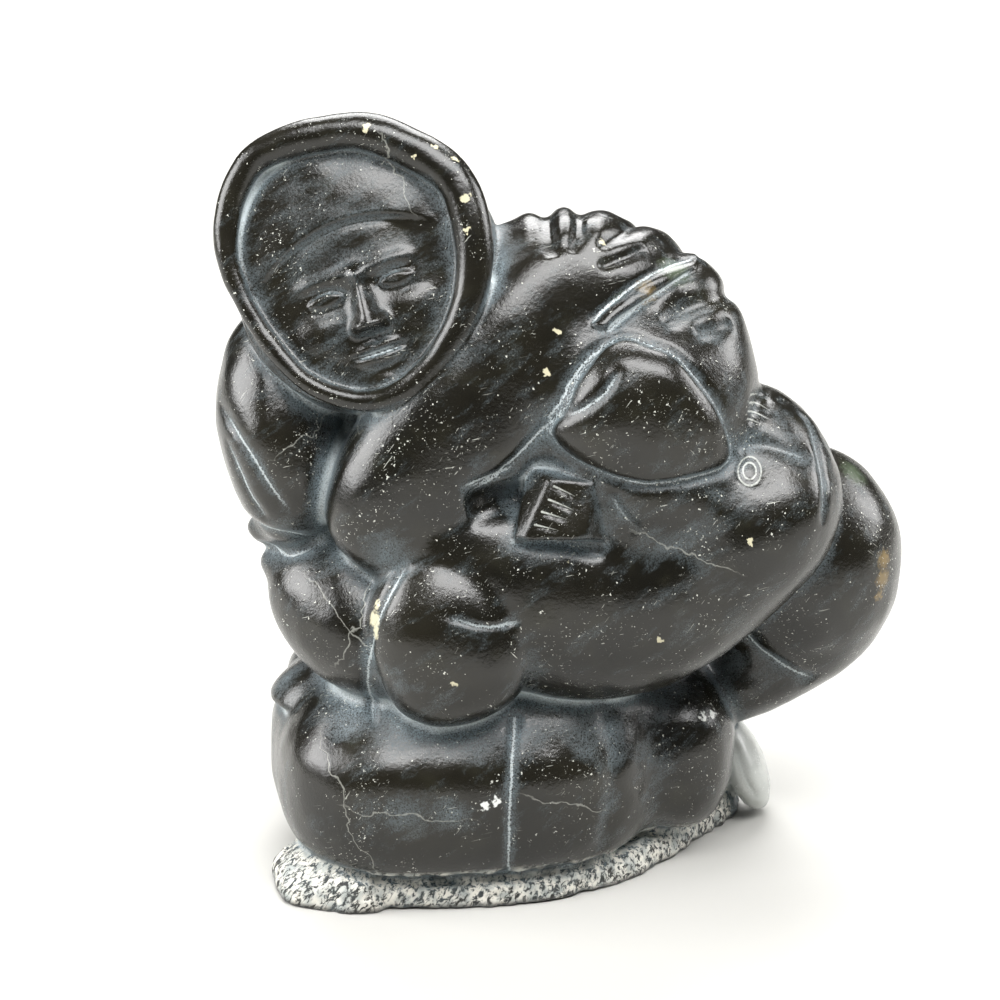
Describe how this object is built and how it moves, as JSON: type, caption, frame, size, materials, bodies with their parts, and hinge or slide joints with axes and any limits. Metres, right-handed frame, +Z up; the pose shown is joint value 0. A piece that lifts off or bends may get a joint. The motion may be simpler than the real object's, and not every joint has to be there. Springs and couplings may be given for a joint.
{
  "type": "soapstone hunter sculpture",
  "caption": "Kneeling hunter in a hooded parka holding a seal across the lap, carved from one block of dark polished soapstone on a rough pecked base.",
  "frame": {"origin": "on the underside of the base, below the middle of the carving's box", "axes": "+Z up, the figure faces -Y, +X to the viewer's right, towards the seal's head"},
  "size_m": [0.1714, 0.099, 0.19],
  "materials": {
    "soapstone": "near-black green-brown soapstone, polished to a soft wax gloss, with pale stone dust in the cuts and a pecked grey base"
  },
  "bodies": {
    "root": {"soapstone_carving": "soapstone"}
  },
  "joints": []
}
